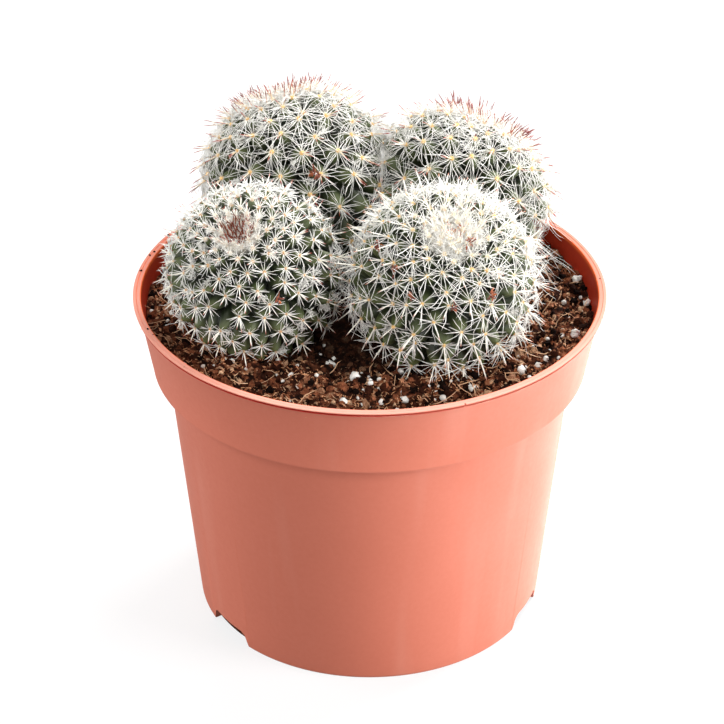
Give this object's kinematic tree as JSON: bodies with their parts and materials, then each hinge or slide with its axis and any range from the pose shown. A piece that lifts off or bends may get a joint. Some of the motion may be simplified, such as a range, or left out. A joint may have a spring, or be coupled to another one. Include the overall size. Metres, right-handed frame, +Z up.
{
  "type": "potted round cactus",
  "caption": "Clump of round, white-spined cacti standing in soil in a low tapered plastic nursery pot with a collar and a notched base.",
  "frame": {"origin": "middle of the pot's base, on the surface that the pot stands on", "axes": "+Z up along the pot's axis, -Y towards the front, +X to the right as seen from the front"},
  "size_m": [0.13, 0.13, 0.1428],
  "materials": {
    "terracotta_plastic": "smooth injection-moulded polypropylene, satin",
    "peat_soil": "loose dark peat with tan fibres and white perlite grains",
    "cactus_plant": "grey-green flesh under white radial spines and red-tipped central spines"
  },
  "bodies": {
    "root": {"pot": "terracotta_plastic", "soil": "peat_soil", "head_front_left": "cactus_plant", "head_front_right": "cactus_plant", "head_back_left": "cactus_plant", "head_back_right": "cactus_plant"}
  },
  "joints": []
}
